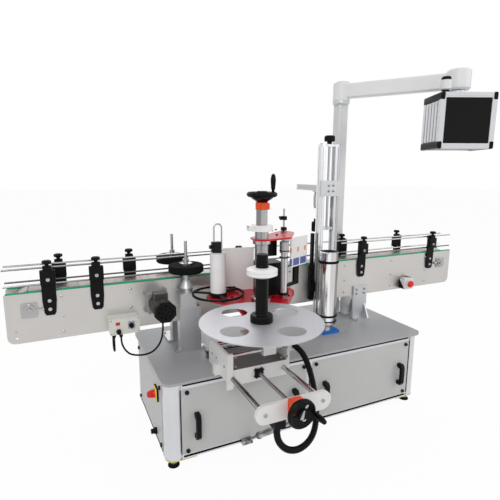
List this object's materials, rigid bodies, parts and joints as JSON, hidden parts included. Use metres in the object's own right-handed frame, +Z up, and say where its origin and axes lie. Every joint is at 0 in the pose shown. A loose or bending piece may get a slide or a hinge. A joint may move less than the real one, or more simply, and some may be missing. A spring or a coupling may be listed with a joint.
{
  "type": "bottle labelling machine",
  "caption": "Slat conveyor on a steel cabinet, with a labelling head on a cross slide, a wrap roller station and an operator panel on a swing arm",
  "frame": {"origin": "middle of the base on the floor, below the centre of the whole machine", "axes": "+X along the conveyor towards the operator panel, +Y from the operator's side to the back, +Z up"},
  "size_m": [2.5, 1.149, 1.736],
  "materials": {
    "base_frame": "satin anodised",
    "cabinet_panels": "satin light grey",
    "panel_handles": "moulded black",
    "levelling_feet": "plated studs, yellow zinc strips, black pads",
    "table_top": "smooth grey",
    "main_switch_base": "black plate, yellow ring",
    "main_switch_knob": "red",
    "control_gear": "matt",
    "conveyor_front_plate": "fine brushed stainless",
    "conveyor_back_plate": "fine brushed stainless",
    "conveyor_cross_bars": "turned",
    "wear_strips": "green low-friction",
    "slat_chain": "dull stainless",
    "left_idler_sprocket": "machined",
    "right_idler_sprocket": "machined",
    "drive_sprocket": "machined",
    "drive_gearmotor": "dark ribbed barrel, grey gearbox",
    "motor_fan_cover": "moulded black",
    "control_box": "cream",
    "speed_knob": "fluted",
    "selector_knob": "fluted",
    "rocker_switch": "red lens",
    "estop_box": "pale cover on black base",
    "estop_button": "red",
    "guide_rods": "polished stainless",
    "guide_brackets": "moulded black",
    "left_support": "satin grey",
    "right_support": "satin grey",
    "front_spacing_wheel": "foam tyre",
    "rear_spacing_wheel": "foam tyre",
    "slide_rods": "hard chrome",
    "slide_end_plate": "pale plate, red and white counter",
    "stay_rod": "plated",
    "slide_handwheel": "black handwheel, plated screw",
    "saddle": "pale plates, plated rods",
    "column_stage": "turned column on a pale stage",
    "column_handwheel": "black",
    "head_plate": "gloss red",
    "head_sleeve": "turned, pale collars",
    "head_drive": "black",
    "label_web": "pale label stock",
    "supply_tray": "fine matt, pale edge",
    "supply_spindle": "black anodised",
    "rewind_reel": "white mandrel, black ring, plated pin",
    "front_guide_roller": "satin roller",
    "rear_guide_roller": "satin roller",
    "wrap_stand": "blue mounting block, black bar",
    "wrap_roller": "polished stainless",
    "lift_column": "anodised profile",
    "lift_screw": "screw with black knob",
    "lift_carriage": "anodised",
    "air_cylinder": "polished",
    "bottle_pad": "black rubber on a steel rod",
    "hmi_post": "pale grey",
    "hmi_arm": "pale grey",
    "hmi_box": "pale housing, dark display",
    "cable_glands": "black",
    "motor_cable": "black jacket",
    "control_box_cable": "black jacket",
    "corrugated_hose": "ribbed conduit"
  },
  "bodies": {
    "frame": {"base_frame": "base_frame", "cabinet_panels": "cabinet_panels", "panel_handles": "panel_handles", "levelling_feet": "levelling_feet", "table_top": "table_top", "main_switch_base": "main_switch_base", "control_gear": "control_gear", "conveyor_front_plate": "conveyor_front_plate", "conveyor_back_plate": "conveyor_back_plate", "conveyor_cross_bars": "conveyor_cross_bars", "wear_strips": "wear_strips", "slat_chain": "slat_chain", "drive_gearmotor": "drive_gearmotor", "motor_fan_cover": "motor_fan_cover", "control_box": "control_box", "estop_box": "estop_box", "guide_rods": "guide_rods", "guide_brackets": "guide_brackets", "left_support": "left_support", "right_support": "right_support", "slide_rods": "slide_rods", "slide_end_plate": "slide_end_plate", "stay_rod": "stay_rod", "wrap_stand": "wrap_stand", "lift_column": "lift_column", "hmi_post": "hmi_post", "cable_glands": "cable_glands", "motor_cable": "motor_cable", "control_box_cable": "control_box_cable", "corrugated_hose": "corrugated_hose"},
    "main_switch": {"main_switch_knob": "main_switch_knob"},
    "speed_control": {"speed_knob": "speed_knob"},
    "selector": {"selector_knob": "selector_knob"},
    "rocker": {"rocker_switch": "rocker_switch"},
    "estop": {"estop_button": "estop_button"},
    "drive_shaft": {"drive_sprocket": "drive_sprocket"},
    "left_idler": {"left_idler_sprocket": "left_idler_sprocket"},
    "right_idler": {"right_idler_sprocket": "right_idler_sprocket"},
    "front_wheel": {"front_spacing_wheel": "front_spacing_wheel"},
    "rear_wheel": {"rear_spacing_wheel": "rear_spacing_wheel"},
    "slide_screw": {"slide_handwheel": "slide_handwheel"},
    "cross_slide": {"saddle": "saddle"},
    "head_column": {"column_stage": "column_stage"},
    "height_screw": {"column_handwheel": "column_handwheel"},
    "label_head": {"head_plate": "head_plate", "head_sleeve": "head_sleeve", "head_drive": "head_drive", "label_web": "label_web"},
    "label_supply": {"supply_tray": "supply_tray", "supply_spindle": "supply_spindle"},
    "rewind": {"rewind_reel": "rewind_reel"},
    "front_roller": {"front_guide_roller": "front_guide_roller"},
    "rear_roller": {"rear_guide_roller": "rear_guide_roller"},
    "wrap_spindle": {"wrap_roller": "wrap_roller"},
    "carriage_screw": {"lift_screw": "lift_screw"},
    "carriage": {"lift_carriage": "lift_carriage", "air_cylinder": "air_cylinder"},
    "pad": {"bottle_pad": "bottle_pad"},
    "panel_arm": {"hmi_arm": "hmi_arm"},
    "panel": {"hmi_box": "hmi_box"}
  },
  "joints": [
    {"name": "main_switch_turn", "type": "hinge", "parent": "frame", "child": "main_switch", "pos_m": [-0.692, 0.0825, 0.29], "axis": [1, 0, 0], "range_deg": [0, 90]},
    {"name": "speed_knob_turn", "type": "hinge", "parent": "frame", "child": "speed_control", "pos_m": [-0.826, 0.1795, 0.558], "axis": [0, 1, 0], "range_deg": [-135, 135]},
    {"name": "selector_turn", "type": "hinge", "parent": "frame", "child": "selector", "pos_m": [-0.772, 0.1795, 0.58], "axis": [0, 1, 0], "range_deg": [-45, 45]},
    {"name": "rocker_tip", "type": "hinge", "parent": "frame", "child": "rocker", "pos_m": [-0.828, 0.1825, 0.592], "axis": [1, 0, 0], "range_deg": [-6, 6]},
    {"name": "estop_press", "type": "slide", "parent": "frame", "child": "estop", "axis": [0, 1, 0], "range_m": [0, 0.006]},
    {"name": "drive_turn", "type": "hinge", "parent": "frame", "child": "drive_shaft", "pos_m": [-0.651, 0.2965, 0.66199], "axis": [0, 1, 0], "continuous": true},
    {"name": "left_idler_turn", "type": "hinge", "parent": "frame", "child": "left_idler", "pos_m": [-1.16205, 0.2965, 0.6799], "axis": [0, 1, 0], "continuous": true},
    {"name": "right_idler_turn", "type": "hinge", "parent": "frame", "child": "right_idler", "pos_m": [1.16205, 0.2965, 0.6799], "axis": [0, 1, 0], "continuous": true},
    {"name": "front_wheel_turn", "type": "hinge", "parent": "frame", "child": "front_wheel", "pos_m": [-0.512, 0.2095, 0.8], "axis": [0, 0, 1], "continuous": true},
    {"name": "rear_wheel_turn", "type": "hinge", "parent": "frame", "child": "rear_wheel", "pos_m": [-0.512, 0.4515, 0.8], "axis": [0, 0, 1], "continuous": true},
    {"name": "slide_screw_turn", "type": "hinge", "parent": "frame", "child": "slide_screw", "pos_m": [-0.314, -0.4905, 0.413], "axis": [0, 1, 0], "range_deg": [0, 7210]},
    {"name": "cross_slide_travel", "type": "slide", "parent": "frame", "child": "cross_slide", "axis": [0, 1, 0], "range_m": [-0.1, 0], "deforming": ["corrugated_hose"]},
    {"name": "stage_travel", "type": "slide", "parent": "cross_slide", "child": "head_column", "axis": [1, 0, 0], "range_m": [0, 0.03], "deforming": ["corrugated_hose"]},
    {"name": "height_screw_turn", "type": "hinge", "parent": "head_column", "child": "height_screw", "pos_m": [-0.254, -0.0465, 1.12], "axis": [0, 0, 1], "range_deg": [0, 5410]},
    {"name": "head_lift", "type": "slide", "parent": "head_column", "child": "label_head", "axis": [0, 0, 1], "range_m": [0, 0.06]},
    {"name": "supply_turn", "type": "hinge", "parent": "label_head", "child": "label_supply", "pos_m": [-0.383, -0.3095, 0.7], "axis": [0, 0, 1], "continuous": true},
    {"name": "rewind_turn", "type": "hinge", "parent": "label_head", "child": "rewind", "pos_m": [-0.397, 0.0995, 0.7], "axis": [0, 0, 1], "continuous": true},
    {"name": "front_roller_turn", "type": "hinge", "parent": "label_head", "child": "front_roller", "pos_m": [-0.135, -0.0325, 0.8], "axis": [0, 0, 1], "continuous": true},
    {"name": "rear_roller_turn", "type": "hinge", "parent": "label_head", "child": "rear_roller", "pos_m": [-0.06, 0.0895, 0.8], "axis": [0, 0, 1], "continuous": true},
    {"name": "wrap_roller_turn", "type": "hinge", "parent": "frame", "child": "wrap_spindle", "pos_m": [0.23, 0.1395, 0.6], "axis": [0, 0, 1], "continuous": true},
    {"name": "lift_screw_turn", "type": "hinge", "parent": "frame", "child": "carriage_screw", "pos_m": [0.264, 0.2195, 1.38], "axis": [0, 0, 1], "range_deg": [-7210, 10810]},
    {"name": "carriage_travel", "type": "slide", "parent": "frame", "child": "carriage", "axis": [0, 0, 1], "range_m": [-0.1, 0.15]},
    {"name": "pad_stroke", "type": "slide", "parent": "carriage", "child": "pad", "axis": [0, 0, 1], "range_m": [-0.05, 0]},
    {"name": "panel_arm_swing", "type": "hinge", "parent": "frame", "child": "panel_arm", "pos_m": [0.475, 0.4195, 1.633], "axis": [0, 0, 1], "range_deg": [-35, 120]},
    {"name": "panel_turn", "type": "hinge", "parent": "panel_arm", "child": "panel", "pos_m": [0.81002, -0.06979, 1.64], "axis": [0, 0, 1], "range_deg": [-45, 90]}
  ],
  "couplings": [
    {"joint": "left_idler_turn", "follows": "drive_turn", "ratio": 0.75},
    {"joint": "right_idler_turn", "follows": "drive_turn", "ratio": 0.75},
    {"joint": "slide_screw_turn", "follows": "cross_slide_travel", "rad_per_m": -1256.6},
    {"joint": "height_screw_turn", "follows": "head_lift", "rad_per_m": 1570.8},
    {"joint": "lift_screw_turn", "follows": "carriage_travel", "rad_per_m": 1256.6}
  ]
}
